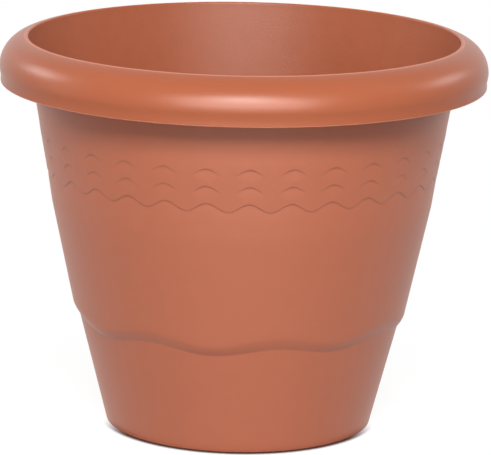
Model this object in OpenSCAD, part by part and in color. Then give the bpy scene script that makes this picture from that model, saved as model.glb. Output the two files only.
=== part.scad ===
// Round flower pot with a rolled rim, three wavy lines and a lobed step.
// Millimetres, +Z up, origin at the centre of the base on the ground.

/* [Pot] */
// Overall height
pot_h = 322; // [310:1:350]
// Diameter of the lower wall where it would meet the ground
base_d = 219.2; // [216:0.2:222]
// Lower wall's rise in radius per millimetre of height
lower_slope = 0.2563; // [0.25:0.0001:0.262]
// Diameter of the upper wall at the mean height of the step
belly_d = 271.6; // [270:0.2:275]
// Upper wall's rise in radius per millimetre of height
upper_slope = 0.2134; // [0.208:0.0001:0.218]
// Height where the upper wall starts to straighten
belly_z = 186; // [176:1:192]
// Wall thickness
wall_t = 3; // [2.6:0.1:3.4]

/* [Rim] */
// Overall diameter across the rolled rim
rim_d = 400; // [380:1:420]
// Radius of the rim's quarter round
rim_r = 25; // [24:0.5:27]
// Height of the rim from its crown to its lip
rim_h = 37.4; // [34:0.1:40]
// Radius of the bead along the lip
lip_r = 1.6; // [1.5:0.1:2]
// How far the bead lies inside the rim's widest line
lip_lean = 0.9; // [0:0.1:2]
// How far the rim's skirt leans in above the bead
skirt_lean = 0.6; // [0:0.1:1.2]
// Width of the rim from the mouth to its outer edge
rim_w = 23.3; // [22.5:0.1:24]
// Radius of the mouth's edge
edge_r = 1.5; // [1:0.1:2]

/* [Wave lines] */
// Number of waves round each line
waves = 30; // [24:1:36]
// Height of the lowest line's middle
wave_z = 212.4; // [208:0.2:216]
// Distance from line to line
wave_pitch = 14.3; // [12:0.1:15]
// Height of a crest above the line's middle
wave_amp = 3.3; // [2:0.1:4]
// Depth of the groove at a crest
wave_depth = 0.6; // [0.4:0.05:1]
// Turn of the crests about the axis, from the front towards the right
wave_turn = 2.2; // [-6:0.1:6]

/* [Step] */
// Number of lobes round the step
lobes = 8; // [6:1:10]
// Mean height of the step's lower corner
step_z = 89.1; // [88:0.1:93]
// Rise and fall of the corner from lobe to lobe
lobe_amp = 3.1; // [1:0.1:4.5]
// Mean height of the rounded shoulder above the corner
shoulder_h = 9.5; // [8:0.5:12]
// Turn of the lobes about the axis, from the front towards the right
lobe_turn = -9.5; // [-20:0.5:20]

/* [Base] */
// Height of the recess under the floor
recess_h = 5; // [3:0.5:7]
// Floor thickness
floor_t = 3.5; // [2.5:0.1:5]
// Width of the ring that the pot stands on
foot_w = 6; // [5:0.5:9]
// Radius of the ring's outer edge
foot_edge = 1.2; // [0.8:0.1:2]
// Radius of the round between floor and wall
floor_round = 8; // [5:0.5:12]
// Number of ribs under the floor
ribs = 8; // [4:4:12]
// Rib thickness
rib_t = 2.4; // [2:0.1:4]
// Diameter of the boss in the middle of the floor's underside
boss_d = 36; // [28:1:50]

/* [Drain plugs] */
// Diameter of a drain hole
drain_d = 14; // [10:0.5:16]
// Distance of a drain hole from the axis
drain_at = 65; // [60:1:70]
// Radial clearance of a plug in its hole
plug_fit = 0.05; // [0.02:0.01:0.1]
// Width of a plug's flange outside the hole
plug_flange_w = 4.5; // [3:0.5:6]
// Flange thickness
plug_flange_t = 2.2; // [1.6:0.1:3]
// How far the plug's shaft reaches below the floor
plug_reach = 2.5; // [1:0.1:2.8]
// Height of the tab that pulls a plug out
plug_tab_h = 7; // [5:0.5:12]
// Thickness of the tab
plug_tab_t = 2.4; // [1.8:0.1:3.5]

/* [Water reserve] */
// Height of the underside of the perforated plate
plate_z = 77; // [66:0.5:79]
// Plate thickness
plate_t = 2.5; // [2:0.1:3.5]
// Gap between the plate and the wall
plate_gap = 1; // [0.6:0.1:2]
// Distance of a wick cup from the axis
cup_at = 70; // [67:0.5:73]
// Outer diameter of a wick cup at the plate
cup_d = 42; // [40:1:46]
// Outer diameter of a wick cup at the floor
cup_foot_d = 37; // [34:1:39]
// Wall thickness of a wick cup
cup_t = 2; // [1.6:0.1:2.6]
// Width of a slot in the plate
slot_w = 3; // [2:0.1:3.6]
// Width of a window in a cup
window_w = 3.6; // [2.4:0.1:3.6]
// Height of a window in a cup
window_h = 22; // [12:1:30]

/* [Hidden] */

terracotta = [0.77, 0.44, 0.33];
dark_plastic = [0.2, 0.17, 0.16];

// Radii of the plain outer wall at a height
function lower_r(z) = base_d / 2 + lower_slope * z;
function upper_r(z) = belly_d / 2 + upper_slope * (z - step_z);

// Above the belly the wall straightens, carries the wave lines and meets the neck
band_slope0 = 0.15;
band_slope1 = 0.185;
neck_slope = 0.06;
band_z0 = belly_z + 19;
band_z1 = wave_z + 2 * wave_pitch + wave_amp + 2.7;
neck_z = band_z1 + 7;
belly_r = upper_r(belly_z);
band_r0 = belly_r + band_slope0 * (band_z0 - belly_z);
band_r1 = band_r0 + band_slope1 * (band_z1 - band_z0);
neck_r = band_r1 + neck_slope * (neck_z - band_z1);
function band_r(z) = band_r0 + band_slope1 * (z - band_z0);

// Rim section: a quarter round about one centre, and a skirt down to the lip
mouth_r = rim_d / 2 - rim_w;
rim_cr = rim_d / 2 - rim_r;
crown_in = mouth_r + edge_r - rim_cr;
rim_cz = pot_h - sqrt(pow(rim_r, 2) - pow(crown_in, 2));
lip_z = pot_h - rim_h;
under_r = rim_r - wall_t;
under_in = mouth_r + wall_t - 0.4 - rim_cr;
skirt_z = lip_z + 4;

// A wave line's groove for each millimetre of its depth: short above its bottom, long and gentle below
groove_above = 1.9;
groove_below = 6;

// Floor
floor_z = recess_h + floor_t;
ring_cut = 1;

// Points along an arc in the section plane, from angle a0 to a1
function arc(cr, cz, r, a0, a1, n) =
  [for (i = [0 : n]) let (a = a0 + (a1 - a0) * i / n) [cr + r * cos(a), cz + r * sin(a)]];

// Height of the step's corner and of the shoulder's top at an angle round the pot
function lobe_wave(a) = cos(lobes * (a - lobe_turn));
function corner_z(a) = step_z - lobe_amp * lobe_wave(a);
function shoulder_z(a) = corner_z(a) + shoulder_h - 0.45 * lobe_amp * lobe_wave(a);

// A section point [r, z] set at an angle a, where 0 is the front (-Y) and 90 the right (+X)
function around(p, a) = [p[0] * sin(a), -p[0] * cos(a), p[1]];

// A closed ring through sections of equal point counts, each in its own radial plane
module ring_through(sections) {
  n = len(sections);
  m = len(sections[0]);
  points = [for (s = sections) each s];
  faces = [
    for (i = [0 : n - 1], j = [0 : m - 1])
      let (a = i * m + j, b = i * m + (j + 1) % m, c = ((i + 1) % n) * m)
        each [[a, b, c + j], [b, c + (j + 1) % m, c + j]]
  ];
  polyhedron(points, faces);
}

// Solid form of the pot above the step, with the rolled rim and the channel under it
module upper_form() {
  low_z = step_z - lobe_amp - 7;
  crown_a = acos(crown_in / rim_r);
  under_a = acos(under_in / under_r);
  bead_r = rim_d / 2 - lip_lean;
  skirt_r = bead_r - skirt_lean;
  rotate_extrude($fn = 240)
    polygon(concat(
      [[0, low_z], [upper_r(low_z), low_z], [belly_r, belly_z]],
      [[band_r0, band_z0], [band_r1, band_z1], [neck_r, neck_z]],
      arc(rim_cr, rim_cz, under_r, under_a, 0, 10),
      [[skirt_r - wall_t, skirt_z]],
      arc(bead_r - lip_r, lip_z + lip_r, lip_r, -160, 20, 9),
      [[skirt_r, skirt_z + 1]],
      arc(rim_cr, rim_cz, rim_r, 0, crown_a, 14),
      [[0, pot_h]]
    ));
}

// Solid form of the pot below the step
module lower_form() {
  high_z = step_z + 2 * lobe_amp + shoulder_h + 6;
  rotate_extrude($fn = 240)
    polygon(concat(
      [[0, 0]],
      arc(base_d / 2 - foot_edge, foot_edge, foot_edge, -90, 0, 4),
      [[lower_r(high_z), high_z], [0, high_z]]
    ));
}

// Section of what is cut away under the lobed shoulder: past its corner, round its hem, past its top
function lobe_section(a) =
  let (
    z0 = corner_z(a),
    z1 = shoulder_z(a),
    r0 = lower_r(z0),
    r1 = upper_r(z1),
    corner = [r0, z0],
    top = [r1, z1],
    hem_low = [r0 + 0.45 * (r1 - r0), z0 + 0.34 * (z1 - z0)],
    hem_high = [r0 + 0.79 * (r1 - r0), z0 + 0.69 * (z1 - z0)],
    reach_in = corner + (corner - hem_low),
    reach_out = top + (top - hem_high) * 1.2,
    deep_z = step_z - 3 * lobe_amp - 8,
    under = [[reach_in[0], deep_z], [reach_out[0], deep_z]]
  )
    [for (p = [reach_in, each under, reach_out, hem_high, hem_low]) around(p, a)];

module lobe_cut() {
  steps = lobes * 14;
  ring_through([for (i = [0 : steps - 1]) lobe_section(360 * i / steps)]);
}

// Section of a groove at an angle: it is deepest along its line and fades between the crests
function groove_section(z_mid, fade, a) =
  let (
    w = cos(waves * (a - wave_turn)),
    z = z_mid + wave_amp * w,
    d = wave_depth * (1 - fade * (1 - w) / 2),
    out = 0.5,
    low = z - groove_below * (d + out),
    high = z + groove_above * (d + out)
  )
    [for (p = [[band_r(z) - d, z], [band_r(low) + out, low], [band_r(high) + out, high]]) around(p, a)];

module wave_groove(row) {
  steps = waves * 8;
  fade = row == 0 ? 0.35 : 1.3;
  ring_through([for (i = [0 : steps - 1]) groove_section(wave_z + row * wave_pitch, fade, 360 * i / steps)]);
}

// The space inside the wall, from the floor to the mouth
module hollow() {
  in_z0 = step_z + 2;
  in_z1 = step_z + lobe_amp + shoulder_h + 3;
  low_r = lower_r(floor_z) - wall_t;
  bend_z = floor_z + floor_round;
  rotate_extrude($fn = 240)
    polygon(concat(
      [[0, floor_z]],
      arc(low_r - floor_round + lower_slope * floor_round, bend_z, floor_round, -90, 0, 6),
      [[lower_r(in_z0) - wall_t, in_z0], [upper_r(in_z1) - wall_t, in_z1]],
      [[belly_r - wall_t, belly_z], [band_r0 - wall_t, band_z0]],
      [[band_r1 - wall_t, band_z1], [neck_r - wall_t, neck_z]],
      arc(mouth_r + edge_r, pot_h - edge_r, edge_r, 180, 110, 4),
      [[mouth_r + edge_r - 0.2, pot_h + ring_cut], [0, pot_h + ring_cut]]
    ));
}

// Pockets between the ribs under the floor
module recess() {
  difference() {
    translate([0, 0, -ring_cut])
      cylinder(h = recess_h + ring_cut, r = base_d / 2 - foot_w, $fn = 180);
    translate([0, 0, -2 * ring_cut])
      cylinder(h = recess_h + 4 * ring_cut, d = boss_d, $fn = 96);
    for (i = [0 : ribs / 2 - 1])
      rotate([0, 0, 180 / ribs + i * 360 / ribs])
        translate([-base_d / 2, -rib_t / 2, -2 * ring_cut])
          cube([base_d, rib_t, recess_h + 4 * ring_cut]);
  }
}

module at_drain(i)
  rotate([0, 0, 90 * i])
    translate([drain_at, 0, 0])
      children();

// Wall, floor and rolled rim, one moulding
module pot_body() {
  color(terracotta)
    difference() {
      union() {
        difference() {
          upper_form();
          lobe_cut();
        }
        lower_form();
      }
      hollow();
      for (row = [0 : 2])
        wave_groove(row);
      recess();
      for (i = [0 : 3])
        at_drain(i)
          cylinder(h = floor_z + ring_cut, d = drain_d, $fn = 64);
    }
}

// Stopper pushed into a drain hole from above
module drain_plug(i) {
  shaft_r = drain_d / 2 - plug_fit;
  tab_w = drain_d * 0.8;
  lead = 1;
  color(terracotta)
    at_drain(i) {
      translate([0, 0, recess_h - plug_reach + lead])
        cylinder(h = floor_t + plug_reach - lead + plug_flange_t / 2, r = shaft_r, $fn = 64);
      translate([0, 0, recess_h - plug_reach])
        cylinder(h = lead, r1 = shaft_r - lead, r2 = shaft_r, $fn = 64);
      translate([0, 0, floor_z])
        cylinder(h = plug_flange_t, r = drain_d / 2 + plug_flange_w, $fn = 64);
      translate([plug_tab_t / 2, 0, floor_z + plug_flange_t])
        rotate([0, -90, 0])
          linear_extrude(plug_tab_t)
            tab_outline(tab_w);
    }
}

// A tab that stands along +X of its plane, with a round end
module tab_outline(w) {
  straight = max(plug_tab_h - w / 2, 0.5);
  translate([-0.5, -w / 2])
    square([straight + 0.5, w]);
  translate([straight, 0])
    intersection() {
      circle(d = w, $fn = 64);
      translate([0, -w])
        square([w, 2 * w]);
    }
}

// A slot with round ends that runs outwards from r0 to r1
module slot(r0, r1)
  translate([0, 0, plate_z - 1])
    linear_extrude(plate_t + 2) {
      translate([r0, -slot_w / 2])
        square([r1 - r0, slot_w]);
      for (r = [r0, r1])
        translate([r, 0])
          circle(d = slot_w, $fn = 24);
    }

module slot_ring(n, r0, r1, turn)
  for (i = [0 : n - 1])
    rotate([0, 0, turn + i * 360 / n])
      slot(r0, r1);

module at_cups()
  for (i = [0 : 3])
    rotate([0, 0, 45 + 90 * i])
      translate([cup_at, 0, 0])
        children();

// Perforated plate on four wick cups that stand on the floor
module reserve_plate() {
  plate_r = lower_r(plate_z) - wall_t - plate_gap;
  cup_h = plate_z - floor_z;
  rim_in = cup_at + cup_d / 2 + slot_w + 2;
  between = [-18, -9, 0, 9, 18];
  color(dark_plastic)
    difference() {
      union() {
        translate([0, 0, plate_z])
          cylinder(h = plate_t, r = plate_r, $fn = 180);
        at_cups()
          translate([0, 0, floor_z])
            cylinder(h = cup_h + plate_t / 2, r1 = cup_foot_d / 2, r2 = cup_d / 2, $fn = 72);
      }
      at_cups()
        translate([0, 0, floor_z + cup_t])
          cylinder(h = cup_h + plate_t, r1 = cup_foot_d / 2 - cup_t, r2 = cup_d / 2 - cup_t, $fn = 72);
      at_cups()
        for (turn = [0, 90])
          rotate([0, 0, turn])
            translate([-cup_d, -window_w / 2, floor_z + 6])
              cube([2 * cup_d, window_w, window_h]);
      slot_ring(36, rim_in, plate_r - slot_w - 3, 5);
      slot_ring(12, 14, cup_at - cup_d / 2 - slot_w - 4, 0);
      for (side = [0 : 3], a = between)
        rotate([0, 0, 90 * side + a])
          slot(cup_at - cup_d / 2 + 4, cup_at + cup_d / 2 - 4);
    }
}

pot_body();
reserve_plate();
drain_plug(0);  // drain_plug_1
drain_plug(1);  // drain_plug_2
drain_plug(2);  // drain_plug_3
drain_plug(3);  // drain_plug_4
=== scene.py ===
import math

import bpy
import numpy as np
from mathutils import Matrix, Vector


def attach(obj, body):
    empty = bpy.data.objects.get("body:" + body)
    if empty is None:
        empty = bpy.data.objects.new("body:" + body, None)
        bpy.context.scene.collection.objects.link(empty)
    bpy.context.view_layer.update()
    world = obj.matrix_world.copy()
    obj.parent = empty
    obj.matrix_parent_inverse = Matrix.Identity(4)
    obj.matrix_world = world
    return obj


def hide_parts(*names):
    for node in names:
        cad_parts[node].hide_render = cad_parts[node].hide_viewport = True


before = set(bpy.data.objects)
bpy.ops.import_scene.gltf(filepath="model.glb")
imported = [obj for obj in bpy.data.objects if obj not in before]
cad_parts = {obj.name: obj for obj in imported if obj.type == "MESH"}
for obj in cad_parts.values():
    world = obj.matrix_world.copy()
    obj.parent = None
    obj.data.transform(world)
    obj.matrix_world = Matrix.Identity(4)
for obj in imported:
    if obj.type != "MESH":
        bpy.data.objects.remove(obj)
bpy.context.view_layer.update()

# Sizes in millimetres, as in the part's source
# The lip, the foot's edge, the wavy lines, the band and the neck are fitted a little closer than there
MM = 0.001
STATIONS = 720

# Walls: radii at the floor and at the step, and how far they lean out for each millimetre of height
POT_H = 322.0
WALL = 3.0
BASE_R = 109.6
LOWER_SLOPE = 0.2563
UPPER_R = 135.8
UPPER_SLOPE = 0.2134
BELLY_Z = 186.0

# Lobed step: the corner between the walls, and a bulging shoulder whose top moves more than the corner
LOBES = 8
LOBE_TURN = -9.5
LOBE_AMP = 3.1
STEP_Z = 89.1
SHOULDER_H = 9.5
SHOULDER_EXTRA = 0.45
SHOULDER_BULGE = 0.44

# Band that carries the wavy lines, and the neck under the rim
BAND_Z0 = 205.0
BAND_Z1 = 247.0
NECK_Z = 254.0
BAND_SLOPE0 = 0.15
BAND_SLOPE1 = 0.178
NECK_SLOPE = 0.13

# Wavy lines: rows of grooves that fade between their crests, in the two upper rows to nothing
WAVES = 30
WAVE_TURN = 2.2
WAVE_Z = 212.4
WAVE_PITCH = 14.3
WAVE_AMP = 3.3
WAVE_DEPTH = 0.6
WAVE_FADES = (0.35, 1.3, 1.3)

# A groove's width for each millimetre of its depth, above and below its bottom
GROOVE_ABOVE = 1.9
GROOVE_BELOW = 14.0

# Painted shade along a groove's bottom: its middle, half its width and how far it fades
SHADE_MIDDLE = 0.1
SHADE_HALF = 1.6
SHADE_FADE = 0.9

# Heights between which the rings swing from level to wavy and back
SWING_START_Z = 199.0
SWING_START_H = 8.0
SWING_END_Z = 252.5
SWING_END_H = 7.0

# Rim: a quarter round about one centre, a skirt down to a thin lip, and a rounded mouth edge
RIM_R = 200.0
ROUND = 25.0
MOUTH_R = 176.7
EDGE_R = 1.5
WALL_LAP = 0.4
LIP_Z = 285.1
LIP_R = 0.8
LIP_LEAN = 0.9
LIP_INNER = 2.2
SKIRT_LEAN = 0.15

# Heights above the lip's end: the hollow's lower edge, the bead's top, the skirt's foot and its top
HOLLOW_H = 4.0
BEAD_H = 2.4
SKIRT_H = 5.0
SKIRT_TOP_H = 8.8

# How far the bead's top draws in and the skirt's top flares out
BEAD_IN = 0.02
SKIRT_FLARE = 0.62

# Stretches of the lip and of the mouth's edge, in degrees in the section; the glint stretches are painted
# lighter as a highlight
LIP_BACK_DEG = (190, 270)
LIP_GLINT_DEG = (276, 364)
EDGE_GLINT_DEG = (84, 122)
EDGE_PLAIN_DEG = (132, 180)

# The rim's round starts here, and turns from plain to the painted highlight this far before it ends
ROUND_FROM_DEG = -2.0
PLAIN_BEFORE_DEG = 5.0
GLINT_BEFORE_DEG = 4.5

# Floor, standing ring and the two stretches of its rounded edge, the lower one painted darker as shade
RECESS = 5.0
FLOOR_T = 3.5
FLOOR_ROUND = 8.0
FOOT_W = 6.0
FOOT_EDGE = 1.3
FOOT_SHADED_DEG = (-75, -20)
FOOT_PLAIN_DEG = (-17, -14.5)

# Middle of the floor with its drain holes, and the ribs and boss under it
DISC_R = 96.0
DRAINS = 4
DRAIN_R = 7.0
DRAIN_AT = 65.0
DRAIN_SIDES = 64
DRAIN_CUT_H = 40.0
RIBS = 8
RIB_T = 2.4
RIB_LAP = 1
RIB_CLEAR = 0.3
BOSS_R = 18.0
BOSS_SIDES = 96
FLOOR_LAP = 0.2

# The inside turns this far above the step's middle, and above a mean shoulder on the highest corner
INSIDE_LOW_H = 2
INSIDE_HIGH_H = 3

# Least distance between two rings on a longer stretch of the inside
INSIDE_SPACING = 7.0

# Where the rings lie, as shares of the way up each stretch of wall or up to the next wavy line
LOWER_RINGS = np.linspace(0.06, 0.985, 16)
SHOULDER_RINGS = (0.02, 0.05, 0.09, 0.14, 0.2, 0.27, 0.36, 0.47, 0.6, 0.74, 0.88, 1.0)
UPPER_RINGS = (0.03, 0.08, 0.16, 0.28, 0.42, 0.56, 0.7, 0.84, 0.94, 1.0)
NECK_RINGS = (0.1, 0.25, 0.45, 0.65, 0.85, 0.96)
BETWEEN_LINES = 0.4

# Where the band's rings lie: heights below and above the wavy lines, and heights off a line's bottom
BAND_LOW_RINGS = (190.0, 196.0, 201.0)
BAND_HIGH_RINGS = (249.0, 252.0)
LINE_RINGS = (-7.0, -5.0, -3.9, -3.3, -2.2, -1.1, -0.5, -0.2, 0.0, 0.15, 0.4, 0.75, 1.0, 1.2, 1.7, 3.0)

# Edges sharper than this stay sharp, on the shell and on the pieces of its floor
SHELL_SHARP_DEG = 32
FLOOR_SHARP_DEG = 30

# Radii and places worked out from the sizes above
BELLY_R = UPPER_R + UPPER_SLOPE * (BELLY_Z - STEP_Z)
BAND_R0 = BELLY_R + BAND_SLOPE0 * (BAND_Z0 - BELLY_Z)
BAND_R1 = BAND_R0 + BAND_SLOPE1 * (BAND_Z1 - BAND_Z0)
NECK_R = BAND_R1 + NECK_SLOPE * (NECK_Z - BAND_Z1)
ROUND_R = RIM_R - ROUND
CROWN_IN = MOUTH_R + EDGE_R - ROUND_R
ROUND_Z = POT_H - math.sqrt(ROUND**2 - CROWN_IN**2)

# Zones of the shell, in the order of its materials
ZONES = ("wall", "rim", "inside", "under", "edge", "painted_glint")

# Colours of the plastics, as linear red, green and blue, and how dark the painted shade makes the wavy
# lines
TERRACOTTA = (0.566, 0.159, 0.076)
TERRACOTTA_RIM = (0.52, 0.139, 0.061)
# The inside's colour is the wall's plastic painted a little darker, as shade inside the pot
TERRACOTTA_INSIDE = (0.488, 0.141, 0.066)
# Painted shade: the foot's lowest edge is coloured darker where it curves under towards the floor
FOOT_SHADE_COLOR = (0.27, 0.11, 0.08)
# Painted highlight: the mouth's edge and the lip's lower edge are coloured lighter for their glint and the
# floor's reflection
GLINT_COLOR = (0.78, 0.27, 0.16)
DARK = (0.032, 0.024, 0.021)
GROOVE_SHADE_LEVEL = 0.87

# Noise of the plastics: detail and roughness of the grain, and scale, detail and range of the mottle
GRAIN_DETAIL = 3.0
GRAIN_ROUGHNESS = 0.6
MOTTLE_SCALE = 90.0
MOTTLE_DETAIL = 4.0
MOTTLE_RANGE = (0.3, 0.7)

# Floor: radius in metres, sides, and the distances from the axis where it turns from shaded to white
STAGE_R = 2.0
STAGE_SIDES = 180
WHITE_FROM_TO = (0.14, 0.36)

# Greys of the floor as it bounces light and as it shows the pot's shadow, and the glow that lifts it
FLOOR_GREY = 0.42
SHADOW_GREY = 0.2
FLOOR_GLOW = 0.9

# Painted shadow, a dark line where the pot's front meets the floor: colour, reach, openness, and Y where it
# fades out
CONTACT_COLOR = (0.07, 0.026, 0.02)
CONTACT_REACH = 0.011
CONTACT_SAMPLES = 16
CONTACT_OPEN = (0.45, 0.78)
CONTACT_FADE_Y = (-0.065, -0.01)

# Light: strength of the room, and where the softboxes stand and aim, in metres
WHITE = (1, 1, 1)
ROOM_LIGHT = 0.06
LAMP_DISTANCE = 3.0
LAMP_AIM_Z = 0.18

# Softboxes: name, azimuth from the front to the right, elevation, width, height and power
LAMPS = (
    ("key_front", 0, 35.2, 1.1, 0.9, 67),
    ("low_front", 0, 8, 1.2, 1.2, 5.4),
    ("right_front", 30, 30, 1.2, 1.2, 4.5),
    ("right_high", 85, 40, 1.2, 1.2, 2),
    ("left_low", -90, 8, 1.2, 1.2, 5),
    ("back_left", -112, 24, 1.2, 0.7, 22),
    ("back_right", 113, 23, 1.2, 0.6, 14),
)
GLOSS_LAMP = ("shine_front", 0, 21, 3.3, 1.9, 190)

# Camera: place in metres, angles in radians, focal length and view in pixels, sensor in millimetres
CAMERA_AWAY = 2.94255
CAMERA_H = 0.82509
CAMERA_PITCH = 0.221625
CAMERA_YAW = 0.001215
CAMERA_ROLL = 0.018617
FOCAL_PX = 3645.87
VIEW_W_PX = 491
SENSOR_W = 36


def lower_r(z):
    """Radius of the lower wall at a height."""
    return BASE_R + LOWER_SLOPE * z


def upper_r(z):
    """Radius of the upper wall at a height, up to the belly."""
    return UPPER_R + UPPER_SLOPE * (z - STEP_Z)


def band_r(z):
    """Radius of the plain wall from the belly to the neck."""
    return np.interp(z, [BELLY_Z, BAND_Z0, BAND_Z1, NECK_Z], [BELLY_R, BAND_R0, BAND_R1, NECK_R])


def arc(center_r, center_z, radius, from_deg, to_deg, steps):
    """Points along an arc in the section, each a radius and a height."""
    angles = np.radians(np.linspace(from_deg, to_deg, steps + 1))
    return [(center_r + radius * math.cos(a), center_z + radius * math.sin(a)) for a in angles]


class Rows:
    """Rings of points round the axis, from under the floor outwards, up, over the rim and down inside.

    Each ring has the zone of the faces that lead up to it, and the shade of its points.
    """

    def __init__(self, angles):
        self.angles = angles
        self.rings = []
        self.zones = []
        self.shades = []

    def add(self, r, z, zone, shade=0.0):
        ones = np.ones_like(self.angles)
        self.rings.append((r * ones, z * ones))
        self.zones.append(zone)
        self.shades.append(shade * ones)

    def add_points(self, points, zone):
        for r, z in points:
            self.add(r, z, zone)


def base_rows(rows):
    """The standing ring and its rounded edge, whose lowest part is painted darker as shade."""
    inner_r = BASE_R - FOOT_W
    edge_r = lower_r(FOOT_EDGE) - FOOT_EDGE * math.hypot(1, LOWER_SLOPE)
    rows.add_points([(DISC_R, RECESS), (inner_r, RECESS), (inner_r, 0.0), (edge_r, 0.0)], "under")
    # These faces of the edge zone carry the painted shade of the foot's lowest edge
    rows.add_points(arc(edge_r, FOOT_EDGE, FOOT_EDGE, *FOOT_SHADED_DEG, steps=4), "edge")
    rows.add_points(arc(edge_r, FOOT_EDGE, FOOT_EDGE, *FOOT_PLAIN_DEG, steps=1), "wall")


def step_rows(rows):
    """Lower wall up to the lobed corner, the rounded shoulder, and the upper wall to the belly."""
    wave = np.cos(np.radians(LOBES * (rows.angles - LOBE_TURN)))
    corner_z = STEP_Z - LOBE_AMP * wave
    top_z = corner_z + SHOULDER_H - SHOULDER_EXTRA * LOBE_AMP * wave
    for share in LOWER_RINGS:
        rows.add(lower_r(corner_z * share), corner_z * share, "wall")
    corner_r = lower_r(corner_z)
    top_r = upper_r(top_z)
    rows.add(corner_r, corner_z, "wall")
    for share in SHOULDER_RINGS:
        out = (1 + SHOULDER_BULGE) * share - SHOULDER_BULGE * share**2
        rows.add(corner_r + (top_r - corner_r) * out, corner_z + (top_z - corner_z) * share, "wall")
    for share in UPPER_RINGS:
        z = top_z + (BELLY_Z - top_z) * share
        rows.add(upper_r(z), z, "wall")


def groove_depth(row, phase):
    """Depth of a wavy line along its length: full at the crests, fading between them."""
    return np.maximum(WAVE_DEPTH * (1 - WAVE_FADES[row] * (1 - phase) / 2), 0)


def band_ring(rows, phase, level, row=None, off=0.0):
    """A ring of the band that swings with the waves: plain, or at a height off a line's bottom."""
    swing = np.clip(
        min((level - SWING_START_Z) / SWING_START_H, (SWING_END_Z - level) / SWING_END_H), 0, 1
    )
    z = level + WAVE_AMP * swing * phase
    r = band_r(z)
    shade = 0.0
    if row is not None:
        depth = groove_depth(row, phase)
        rise = off / GROOVE_ABOVE if off > 0 else -off / GROOVE_BELOW
        r = r - np.maximum(depth - rise, 0)
        shade = depth / WAVE_DEPTH * np.clip((SHADE_HALF - abs(off - SHADE_MIDDLE)) / SHADE_FADE, 0, 1)
    rows.add(r, z, "wall", shade)


def band_rows(rows):
    """The wall that carries the wavy lines; its rings follow the waves, so each line is crisp."""
    phase = np.cos(np.radians(WAVES * (rows.angles - WAVE_TURN)))
    for level in BAND_LOW_RINGS:
        band_ring(rows, phase, level)
    for row in range(len(WAVE_FADES)):
        if row > 0:
            band_ring(rows, phase, WAVE_Z + (row - 1 + BETWEEN_LINES) * WAVE_PITCH)
        for off in LINE_RINGS:
            band_ring(rows, phase, WAVE_Z + row * WAVE_PITCH + off, row, off)
    for level in BAND_HIGH_RINGS:
        band_ring(rows, phase, level)
    rows.add(NECK_R, NECK_Z, "wall")


def hollow_rows(rows):
    """Up behind the rim and round the hollow under it."""
    hollow = ROUND - WALL
    from_deg = math.degrees(math.acos((MOUTH_R + WALL - WALL_LAP - ROUND_R) / hollow))
    under = arc(ROUND_R, ROUND_Z, hollow, from_deg, 0, steps=16)
    top_r, top_z = under[0]
    for share in NECK_RINGS:
        rows.add(NECK_R + (top_r - NECK_R) * share, NECK_Z + (top_z - NECK_Z) * share, "wall")
    rows.add_points(under, "wall")


def lip_rows(rows):
    """Down the skirt's inner face, round the thin lip and up the skirt."""
    bead_r = RIM_R - LIP_LEAN
    skirt_r = bead_r - SKIRT_LEAN
    bead_z = LIP_Z + LIP_R
    rows.add(skirt_r - WALL, LIP_Z + HOLLOW_H, "wall")
    rows.add_points(arc(bead_r - LIP_INNER, bead_z, LIP_R, *LIP_BACK_DEG, steps=6), "wall")
    # The lip's lower edge is painted lighter, as the floor's reflection
    rows.add_points(arc(bead_r - LIP_R, bead_z, LIP_R, *LIP_GLINT_DEG, steps=12), "painted_glint")
    rows.add(bead_r - BEAD_IN, LIP_Z + BEAD_H, "rim")
    rows.add(skirt_r, LIP_Z + SKIRT_H, "rim")
    rows.add(skirt_r + SKIRT_FLARE, LIP_Z + SKIRT_TOP_H, "rim")


def crown_rows(rows):
    """Over the rim's round and its inner edge, which is painted lighter as a highlight, into the mouth."""
    end_deg = math.degrees(math.acos(CROWN_IN / ROUND))
    edge_r = MOUTH_R + EDGE_R
    edge_z = POT_H - EDGE_R
    plain_end = end_deg - PLAIN_BEFORE_DEG
    rows.add_points(arc(ROUND_R, ROUND_Z, ROUND, ROUND_FROM_DEG, plain_end, steps=42), "rim")
    # The mouth's edge is painted lighter, as its highlight
    rows.add_points(arc(ROUND_R, ROUND_Z, ROUND, end_deg - GLINT_BEFORE_DEG, end_deg, steps=4), "painted_glint")
    rows.add_points(arc(edge_r, edge_z, EDGE_R, *EDGE_GLINT_DEG, steps=4), "painted_glint")
    rows.add_points(arc(edge_r, edge_z, EDGE_R, *EDGE_PLAIN_DEG, steps=5), "rim")


def inner_rows(rows):
    """Down the inside of the wall, round into the floor and through to its underside."""
    low_z = STEP_Z + INSIDE_LOW_H
    high_z = STEP_Z + LOBE_AMP + SHOULDER_H + INSIDE_HIGH_H
    floor_z = RECESS + FLOOR_T
    round_r = lower_r(floor_z) - WALL - FLOOR_ROUND + LOWER_SLOPE * FLOOR_ROUND
    floor_round = arc(round_r, floor_z + FLOOR_ROUND, FLOOR_ROUND, -90, 0, steps=8)
    line = [
        (MOUTH_R, POT_H - EDGE_R),
        (NECK_R - WALL, NECK_Z),
        (BAND_R1 - WALL, BAND_Z1),
        (BAND_R0 - WALL, BAND_Z0),
        (BELLY_R - WALL, BELLY_Z),
        (upper_r(high_z) - WALL, high_z),
        (lower_r(low_z) - WALL, low_z),
        *reversed(floor_round),
        (DISC_R, floor_z),
    ]
    points = []
    for (r0, z0), (r1, z1) in zip(line[:-1], line[1:]):
        parts = max(1, int(math.hypot(r1 - r0, z1 - z0) / INSIDE_SPACING))
        for i in range(parts):
            share = i / parts
            points.append((r0 + (r1 - r0) * share, z0 + (z1 - z0) * share))
    # The line's first point is the end of the mouth's edge, which has its ring already
    rows.add_points(points[1:], "inside")
    rows.add_points([(DISC_R, floor_z), (DISC_R, RECESS)], "inside")


def link_object(name, data):
    """A new object with this data, in the scene."""
    made = bpy.data.objects.new(name, data)
    bpy.context.scene.collection.objects.link(made)
    return made


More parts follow.
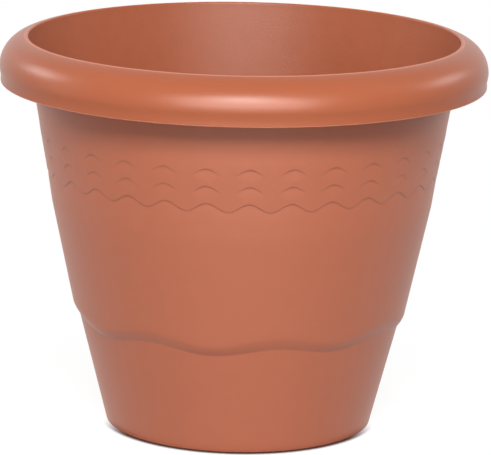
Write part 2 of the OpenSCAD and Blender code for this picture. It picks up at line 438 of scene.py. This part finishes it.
def ring_mesh(name, rows):
    """One surface through the rings, with a material for each zone and the shades in groove."""
    count = len(rows.angles)
    turn = np.radians(rows.angles)
    points = np.concatenate([np.stack([r * np.sin(turn), -r * np.cos(turn), z], 1) for r, z in rows.rings])
    faces = []
    zones = []
    for k in range(len(rows.rings) - 1):
        low = k * count
        high = low + count
        zone = ZONES.index(rows.zones[k + 1])
        for i in range(count):
            j = (i + 1) % count
            faces.append((low + i, low + j, high + j, high + i))
            zones.append(zone)
    mesh = bpy.data.meshes.new(name)
    mesh.from_pydata((points * MM).tolist(), [], faces)
    groove = mesh.attributes.new("groove", "FLOAT", "POINT")
    groove.data.foreach_set("value", np.concatenate(rows.shades))
    mesh.polygons.foreach_set("material_index", zones)
    smooth(mesh, SHELL_SHARP_DEG)
    mesh.update()
    return link_object(name, mesh)


def smooth(mesh, sharp_deg):
    """Smooth shading, but for edges sharper than the angle."""
    mesh.polygons.foreach_set("use_smooth", [True] * len(mesh.polygons))
    mesh.set_sharp_from_angle(angle=math.radians(sharp_deg))


def set_input(node, name, value):
    node.inputs[name].default_value = value


def map_range(tree, value, from_to, to_low=0.0, to_high=1.0, smoothly=False):
    """A node that maps a value from one range to another."""
    node = tree.nodes.new("ShaderNodeMapRange")
    if smoothly:
        node.interpolation_type = "SMOOTHSTEP"
    set_input(node, "From Min", from_to[0])
    set_input(node, "From Max", from_to[1])
    set_input(node, "To Min", to_low)
    set_input(node, "To Max", to_high)
    tree.links.new(value, node.inputs["Value"])
    return node


def scale_color(tree, factor):
    """A node that scales a colour by a factor."""
    node = tree.nodes.new("ShaderNodeVectorMath")
    node.operation = "SCALE"
    tree.links.new(factor, node.inputs["Scale"])
    return node


def noise(tree, place, scale, detail):
    """A noise texture on the object's own coordinates."""
    node = tree.nodes.new("ShaderNodeTexNoise")
    set_input(node, "Scale", scale)
    set_input(node, "Detail", detail)
    tree.links.new(place, node.inputs["Vector"])
    return node


def new_material(name, color, roughness, specular):
    """A material with its node tree and its shader."""
    mat = bpy.data.materials.new(name)
    mat.use_nodes = True
    bsdf = mat.node_tree.nodes["Principled BSDF"]
    set_input(bsdf, "Base Color", (*color, 1))
    set_input(bsdf, "Roughness", roughness)
    set_input(bsdf, "Specular IOR Level", specular)
    return mat, mat.node_tree, bsdf


def grain(tree, bsdf, color, scale, distance, strength, mottle):
    """Fine moulded grain as a bump, and a slight mottle of the colour."""
    place = tree.nodes.new("ShaderNodeTexCoord").outputs["Object"]
    fine = noise(tree, place, scale, GRAIN_DETAIL)
    set_input(fine, "Roughness", GRAIN_ROUGHNESS)
    bump = tree.nodes.new("ShaderNodeBump")
    set_input(bump, "Strength", strength)
    set_input(bump, "Distance", distance)
    tree.links.new(fine.outputs["Fac"], bump.inputs["Height"])
    tree.links.new(bump.outputs["Normal"], bsdf.inputs["Normal"])
    soft = noise(tree, place, MOTTLE_SCALE, MOTTLE_DETAIL)
    level = map_range(tree, soft.outputs["Fac"], MOTTLE_RANGE, 1 - mottle, 1 + mottle)
    tint = scale_color(tree, level.outputs["Result"])
    tint.inputs[0].default_value = color
    tree.links.new(tint.outputs["Vector"], bsdf.inputs["Base Color"])
    return tint


def wall_material():
    """Matt plastic, with painted shade darkening the bottoms of the wavy lines."""
    mat, tree, bsdf = new_material("terracotta_matt", TERRACOTTA, roughness=0.42, specular=0.52)
    tint = grain(tree, bsdf, TERRACOTTA, scale=900.0, distance=0.0004, strength=0.3, mottle=0.012)
    groove = tree.nodes.new("ShaderNodeAttribute")
    groove.attribute_name = "groove"
    # The groove attribute paints shade into the bottoms of the wavy lines
    shade = map_range(tree, groove.outputs["Fac"], (0.0, 1.0), 1.0, GROOVE_SHADE_LEVEL)
    painted_groove_shade = scale_color(tree, shade.outputs["Result"])
    tree.links.new(tint.outputs["Vector"], painted_groove_shade.inputs[0])
    tree.links.new(painted_groove_shade.outputs["Vector"], bsdf.inputs["Base Color"])
    return mat


def rim_material():
    """The smoother and glossier plastic of the rim."""
    mat, tree, bsdf = new_material("terracotta_rim", TERRACOTTA_RIM, roughness=0.32, specular=0.23)
    grain(tree, bsdf, TERRACOTTA_RIM, scale=1100.0, distance=0.0003, strength=0.1, mottle=0.01)
    return mat


def inside_material():
    """The duller plastic inside the pot, its colour painted a little darker than the wall's as shade."""
    mat, tree, bsdf = new_material("terracotta_inside", TERRACOTTA_INSIDE, roughness=0.42, specular=0.17)
    grain(tree, bsdf, TERRACOTTA_INSIDE, scale=700.0, distance=0.0005, strength=0.4, mottle=0.02)
    return mat


def foot_shade_material():
    """The foot's lowest edge, painted darker as the shade where it curves under."""
    return new_material("terracotta_painted_shade", FOOT_SHADE_COLOR, roughness=0.6, specular=0.2)[0]


def highlight_material():
    """The thin edges of the mouth and the lip, painted lighter than the rim as a highlight and as the
    floor's reflection.
    """
    return new_material("terracotta_painted_highlight", GLINT_COLOR, roughness=0.4, specular=0.2)[0]


def plate_material():
    """The dark plastic of the reserve plate."""
    mat, tree, bsdf = new_material("dark_plastic", DARK, roughness=0.45, specular=0.45)
    grain(tree, bsdf, DARK, scale=900.0, distance=0.0003, strength=0.25, mottle=0.08)
    return mat


def plug_material():
    """The plastic of the drain plugs."""
    mat, tree, bsdf = new_material("terracotta_plug", TERRACOTTA, roughness=0.45, specular=0.42)
    grain(tree, bsdf, TERRACOTTA, scale=1100.0, distance=0.0003, strength=0.2, mottle=0.03)
    return mat


def shell():
    """The pot's moulding, but for the middle of its floor, as one fine surface."""
    rows = Rows(np.arange(STATIONS) * 360.0 / STATIONS)
    for add_rows in (base_rows, step_rows, band_rows, hollow_rows, lip_rows, crown_rows, inner_rows):
        add_rows(rows)
    pot = ring_mesh("pot_shell", rows)
    wall = wall_material()
    looks = {
        "wall": wall,
        "rim": rim_material(),
        "inside": inside_material(),
        "under": wall,
        "edge": foot_shade_material(),
        "painted_glint": highlight_material(),
    }
    for zone in ZONES:
        pot.data.materials.append(looks[zone])
    return pot


def cylinder(name, sides, radius, height, x, y, z):
    """A cylinder about its middle, from sizes in millimetres."""
    bpy.ops.mesh.primitive_cylinder_add(
        vertices=sides, radius=radius * MM, depth=height * MM, location=(x * MM, y * MM, z * MM)
    )
    made = bpy.context.object
    made.name = name
    return made


def floor_disc(material):
    """The floor's middle with its drain holes."""
    disc = cylinder("pot_floor", STATIONS, DISC_R, FLOOR_T, 0, 0, RECESS + FLOOR_T / 2)
    cutters = []
    for i in range(DRAINS):
        a = math.radians(i * 360 / DRAINS)
        x = DRAIN_AT * math.cos(a)
        y = DRAIN_AT * math.sin(a)
        cutter = cylinder(f"drain_cut_{i}", DRAIN_SIDES, DRAIN_R, DRAIN_CUT_H, x, y, RECESS)
        hole = disc.modifiers.new(f"drain_{i}", "BOOLEAN")
        hole.object = cutter
        hole.solver = "EXACT"
        cutters.append(cutter)
    bpy.context.view_layer.update()
    mesh = bpy.data.meshes.new_from_object(disc.evaluated_get(bpy.context.evaluated_depsgraph_get()))
    disc.modifiers.clear()
    disc.data = mesh
    for cutter in cutters:
        bpy.data.objects.remove(cutter)
    mesh.materials.clear()
    mesh.materials.append(material)
    return disc


def rib_set(material):
    """The ribs under the floor, from the boss to the standing ring, as boxes in one mesh."""
    outer = BASE_R - FOOT_W + RIB_LAP
    inner = BOSS_R - RIB_LAP
    half = RIB_T / 2
    top = RECESS + FLOOR_LAP
    section = ((-half, RIB_CLEAR), (half, RIB_CLEAR), (half, top), (-half, top))
    sides = [(0, 1, 2, 3), (7, 6, 5, 4), (0, 4, 5, 1), (1, 5, 6, 2), (2, 6, 7, 3), (3, 7, 4, 0)]
    vertices = []
    faces = []
    for i in range(RIBS):
        a = math.radians(180 / RIBS + i * 360 / RIBS)
        c = math.cos(a)
        s = math.sin(a)
        first = len(vertices)
        for r in (inner, outer):
            for y, z in section:
                vertices.append(((r * c - y * s) * MM, (r * s + y * c) * MM, z * MM))
        faces += [tuple(first + corner for corner in side) for side in sides]
    mesh = bpy.data.meshes.new("pot_ribs")
    mesh.from_pydata(vertices, [], faces)
    mesh.materials.append(material)
    return link_object("pot_ribs", mesh)


def boss(material):
    """The round boss in the middle of the underside."""
    height = RECESS + FLOOR_LAP
    made = cylinder("pot_boss", BOSS_SIDES, BOSS_R, height, 0, 0, height / 2)
    made.data.materials.append(material)
    return made


def dress(node, material):
    """Gives a carried-over node one material."""
    node.data.materials.clear()
    node.data.materials.append(material)


def build_object():
    pot = shell()
    wall = pot.data.materials[0]
    under = [floor_disc(wall), rib_set(wall), boss(wall)]
    for piece in under:
        smooth(piece.data, FLOOR_SHARP_DEG)
    for piece in [pot] + under:
        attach(piece, "pot")
    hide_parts("pot_body")
    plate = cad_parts["reserve_plate"]
    dress(plate, plate_material())
    plug = plug_material()
    for i in range(1, DRAINS + 1):
        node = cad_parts[f"drain_plug_{i}"]
        dress(node, plug)


def join_shaders(tree, kind, *sources):
    """A node of this kind, fed by the sources in the order of its inputs."""
    node = tree.nodes.new(kind)
    for source, target in zip(sources, node.inputs):
        tree.links.new(source, target)
    return node.outputs[0]


def diffuse(tree, grey):
    """A matt grey shader."""
    node = tree.nodes.new("ShaderNodeBsdfDiffuse")
    set_input(node, "Color", (grey, grey, grey, 1))
    return node.outputs[0]


def emission(tree, color, strength=1.0):
    """A shader that shows its own colour, whatever the light."""
    node = tree.nodes.new("ShaderNodeEmission")
    set_input(node, "Color", (*color, 1))
    set_input(node, "Strength", strength)
    return node.outputs[0]


def seen_ray(tree):
    """1 for the camera, glossy and transmission rays, which see a white background, and 0 for the rest."""
    path = tree.nodes.new("ShaderNodeLightPath")
    first = tree.nodes.new("ShaderNodeMath")
    second = tree.nodes.new("ShaderNodeMath")
    for node in (first, second):
        node.operation = "MAXIMUM"
    tree.links.new(path.outputs["Is Camera Ray"], first.inputs[0])
    tree.links.new(path.outputs["Is Glossy Ray"], first.inputs[1])
    tree.links.new(first.outputs[0], second.inputs[0])
    tree.links.new(path.outputs["Is Transmission Ray"], second.inputs[1])
    return second.outputs[0]


def open_floor(tree, place):
    """0 where the pot's front meets the floor, and 1 away from it and further back; it places the painted
    contact shadow.
    """
    touch = tree.nodes.new("ShaderNodeAmbientOcclusion")
    touch.samples = CONTACT_SAMPLES
    set_input(touch, "Distance", CONTACT_REACH)
    axes = tree.nodes.new("ShaderNodeSeparateXYZ")
    tree.links.new(place, axes.inputs[0])
    back = map_range(tree, axes.outputs["Y"], CONTACT_FADE_Y, smoothly=True)
    clear = map_range(tree, touch.outputs["AO"], CONTACT_OPEN, smoothly=True)
    tree.links.new(back.outputs["Result"], clear.inputs["To Min"])
    return clear.outputs["Result"]


def far_floor(tree, place):
    """Rises from 0 near the pot to 1 away from it."""
    length = tree.nodes.new("ShaderNodeVectorMath")
    length.operation = "LENGTH"
    tree.links.new(place, length.inputs[0])
    return map_range(tree, length.outputs["Value"], WHITE_FROM_TO, smoothly=True).outputs["Result"]


def floor_material():
    """A pale floor that shows as white, with the pot's soft shadow and a painted dark shadow line in front
    of its foot.
    """
    mat = bpy.data.materials.new("pale_floor")
    mat.use_nodes = True
    tree = mat.node_tree
    tree.nodes.clear()
    place = tree.nodes.new("ShaderNodeTexCoord").outputs["Object"]
    lifted = emission(tree, WHITE, FLOOR_GLOW)
    near = join_shaders(tree, "ShaderNodeAddShader", diffuse(tree, SHADOW_GREY), lifted)
    # This emission is a painted shadow, dark where the pot's front touches the floor
    dark = emission(tree, CONTACT_COLOR)
    close = join_shaders(tree, "ShaderNodeMixShader", open_floor(tree, place), dark, near)
    white = emission(tree, WHITE)
    shown = join_shaders(tree, "ShaderNodeMixShader", far_floor(tree, place), close, white)
    plain = diffuse(tree, FLOOR_GREY)
    both = join_shaders(tree, "ShaderNodeMixShader", seen_ray(tree), plain, shown)
    out = tree.nodes.new("ShaderNodeOutputMaterial")
    tree.links.new(both, out.inputs["Surface"])
    return mat


def build_stage():
    bpy.ops.mesh.primitive_circle_add(vertices=STAGE_SIDES, radius=STAGE_R, fill_type="NGON")
    floor = bpy.context.object
    floor.name = "floor"
    floor.data.materials.append(floor_material())


def soft_lamp(name, azimuth, elevation, width, height, power):
    """A softbox that faces the pot; azimuth 0 is the front and 90 the right."""
    a = math.radians(azimuth)
    e = math.radians(elevation)
    away = Vector((math.sin(a) * math.cos(e), -math.cos(a) * math.cos(e), math.sin(e)))
    data = bpy.data.lights.new(name, "AREA")
    data.shape = "RECTANGLE"
    data.size = width
    data.size_y = height
    data.energy = power
    lamp = link_object(name, data)
    lamp.location = Vector((0, 0, LAMP_AIM_Z)) + LAMP_DISTANCE * away
    lamp.rotation_euler = (-away).to_track_quat("-Z", "Y").to_euler()
    return lamp


def build_world():
    """A dim room for the light, and white for the rays that see it."""
    world = bpy.data.worlds.new("studio")
    bpy.context.scene.world = world
    world.use_nodes = True
    tree = world.node_tree
    room = tree.nodes["Background"]
    set_input(room, "Color", (*WHITE, 1))
    set_input(room, "Strength", ROOM_LIGHT)
    seen = tree.nodes.new("ShaderNodeBackground")
    set_input(seen, "Color", (*WHITE, 1))
    set_input(seen, "Strength", 1.0)
    mix = join_shaders(tree, "ShaderNodeMixShader", seen_ray(tree), room.outputs[0], seen.outputs[0])
    tree.links.new(mix, tree.nodes["World Output"].inputs["Surface"])


def build_light():
    build_world()
    for lamp in LAMPS:
        soft_lamp(*lamp)
    # This lamp adds gloss alone, for the soft highlight in the middle of the rim
    soft_lamp(*GLOSS_LAMP).visible_diffuse = False


def build_camera():
    """The camera that fits the view's mouth, lip, base and wall outlines, with a slight roll."""
    across = math.cos(CAMERA_PITCH)
    forward = Vector(
        (math.sin(CAMERA_YAW) * across, math.cos(CAMERA_YAW) * across, -math.sin(CAMERA_PITCH))
    )
    level_right = Vector((math.cos(CAMERA_YAW), -math.sin(CAMERA_YAW), 0))
    level_up = level_right.cross(forward)
    right = math.cos(CAMERA_ROLL) * level_right + math.sin(CAMERA_ROLL) * level_up
    up = -math.sin(CAMERA_ROLL) * level_right + math.cos(CAMERA_ROLL) * level_up
    data = bpy.data.cameras.new("camera")
    data.sensor_width = SENSOR_W
    data.sensor_fit = "HORIZONTAL"
    data.lens = FOCAL_PX * SENSOR_W / VIEW_W_PX
    data.clip_start = 0.05
    data.clip_end = 50
    camera = link_object("camera", data)
    turn = Matrix((right, up, -forward)).transposed().to_4x4()
    camera.matrix_world = Matrix.Translation((0, -CAMERA_AWAY, CAMERA_H)) @ turn
    bpy.context.scene.camera = camera


build_object()
build_stage()
build_light()
build_camera()
bpy.context.scene.view_settings.view_transform = "Standard"
